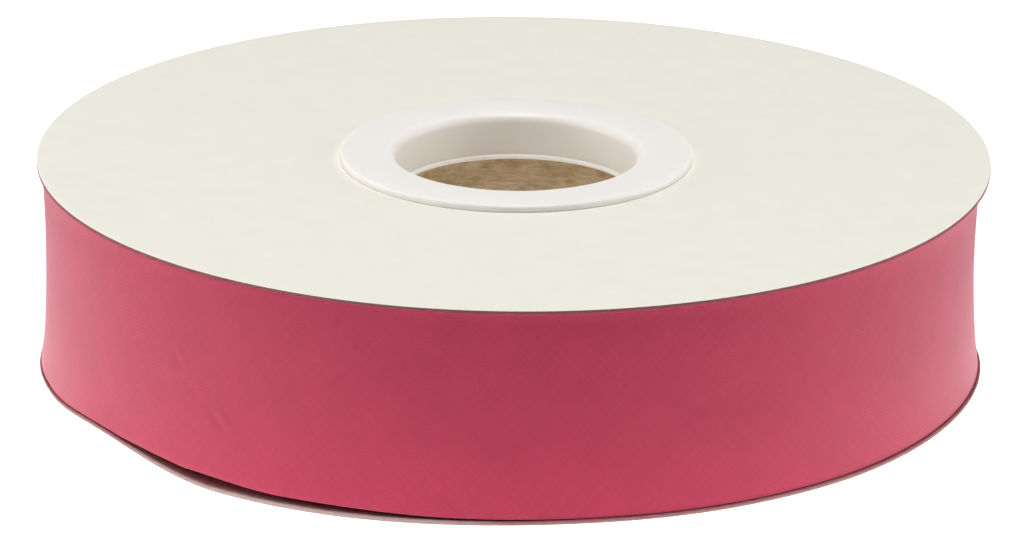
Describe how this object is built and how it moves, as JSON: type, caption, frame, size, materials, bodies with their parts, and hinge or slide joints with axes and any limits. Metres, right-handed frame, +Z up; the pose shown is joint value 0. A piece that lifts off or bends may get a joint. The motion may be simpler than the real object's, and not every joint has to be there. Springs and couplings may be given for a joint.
{
  "type": "roll of bias binding",
  "caption": "Folded cotton bias binding wound on a flat card spool with plastic bushes round an open spindle bore.",
  "frame": {"origin": "on the axis of the spindle bore, on the surface that the spool lies on, level with the underside of the lower collar", "axes": "+Z up along the axis of the bore, away from the surface; +X to the right and +Y away from the viewer of the picture"},
  "size_m": [0.1155, 0.1154, 0.0284],
  "materials": {
    "binding_cloth": "matt plain-woven cotton, cut on the bias and pressed flat",
    "card": "smooth cream-coated card with a grey cut edge",
    "brown_card": "matt spiral-wound brown paper",
    "white_plastic": "soft sheen moulded white polythene"
  },
  "bodies": {
    "root": {"wound_binding": "binding_cloth", "card_top": "card", "card_bottom": "card", "core_tube": "brown_card", "hub_top": "white_plastic", "hub_bottom": "white_plastic"}
  },
  "joints": []
}
